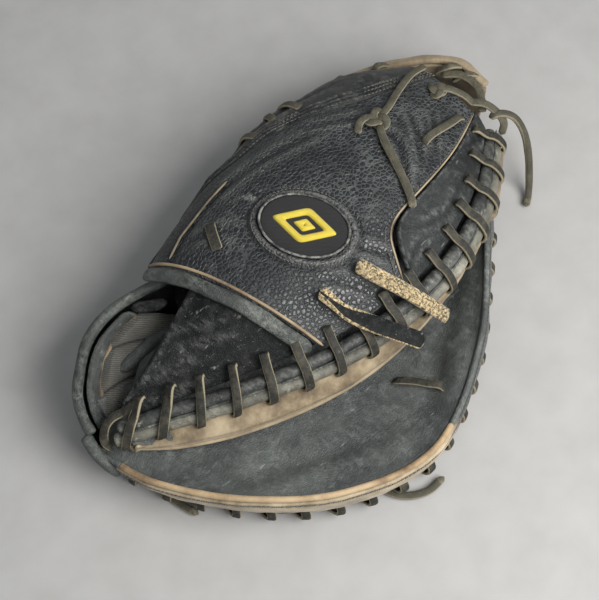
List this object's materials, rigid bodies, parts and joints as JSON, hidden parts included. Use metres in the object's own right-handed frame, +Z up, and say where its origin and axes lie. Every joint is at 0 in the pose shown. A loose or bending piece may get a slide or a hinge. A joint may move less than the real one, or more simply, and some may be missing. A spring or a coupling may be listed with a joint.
{
  "type": "baseball catchers mitt",
  "caption": "Folded catcher's mitt with padded halves, laced rim, wrist strap and web, hinged at its palm fold.",
  "frame": {"origin": "on the flat that the mitt lies on, under the middle of the pocket", "axes": "+X from the heel to the tip of the web, +Y to the folded spine, +Z up out of the thumb half's back"},
  "size_m": [0.3318, 0.2263, 0.0987],
  "materials": {
    "black_leather": "worn smooth blue-black leather, dusty at the folds",
    "pebbled_leather": "glossy pebble-grained blue-black leather",
    "tan_leather": "worn blonde leather with a soft nap",
    "tan_piping": "tan piping, rubbed",
    "rawhide_lace": "dark rawhide lace with olive-tan edges",
    "suede_strap": "speckled flesh-side lace",
    "felt_pad": "pressed wool felt",
    "lining_cloth": "soft grey-brown ribbed lining",
    "badge_cloth": "black twill",
    "emblem_thread": "yellow satin-stitch thread"
  },
  "bodies": {
    "finger_half": {"finger_palm": "black_leather", "finger_pad": "felt_pad", "finger_lining": "lining_cloth", "finger_back": "black_leather", "finger_stalls": "black_leather", "finger_side_band": "tan_leather", "finger_piping": "tan_piping", "finger_welts": "black_leather", "finger_rim_lace": "rawhide_lace", "palm_crease": "black_leather", "spine_gusset": "lining_cloth", "wrist_collar": "black_leather", "wrist_binding": "black_leather", "wrist_lining": "lining_cloth", "wrist_facing": "black_leather", "heel_welt": "black_leather", "web": "tan_leather", "web_binding": "tan_leather", "palm_tie": "rawhide_lace", "finger_loop": "rawhide_lace", "rim_tail": "rawhide_lace", "heel_tail": "rawhide_lace"},
    "thumb_half": {"thumb_palm": "black_leather", "thumb_pad": "felt_pad", "thumb_lining": "lining_cloth", "thumb_base_panel": "black_leather", "back_panel": "pebbled_leather", "thumb_tip_panel": "black_leather", "thumb_edge_strip": "black_leather", "thumb_side_band": "tan_leather", "thumb_piping": "tan_piping", "thumb_welts": "black_leather", "thumb_rim_lace": "rawhide_lace", "strap_binding": "black_leather", "strap_piping": "tan_piping", "pull_tab": "rawhide_lace", "badge": "badge_cloth", "badge_emblem": "emblem_thread", "thumb_loop": "rawhide_lace", "crease_knot": "rawhide_lace", "tip_knot": "rawhide_lace", "strap_upper": "suede_strap", "strap_lower": "rawhide_lace", "web_tail": "rawhide_lace", "crease_tail": "rawhide_lace"}
  },
  "joints": [
    {"name": "pocket_hinge", "type": "hinge", "parent": "finger_half", "child": "thumb_half", "pos_m": [0, 0.03, 0.044], "axis": [-1, 0, 0], "range_deg": [0, 35]}
  ]
}
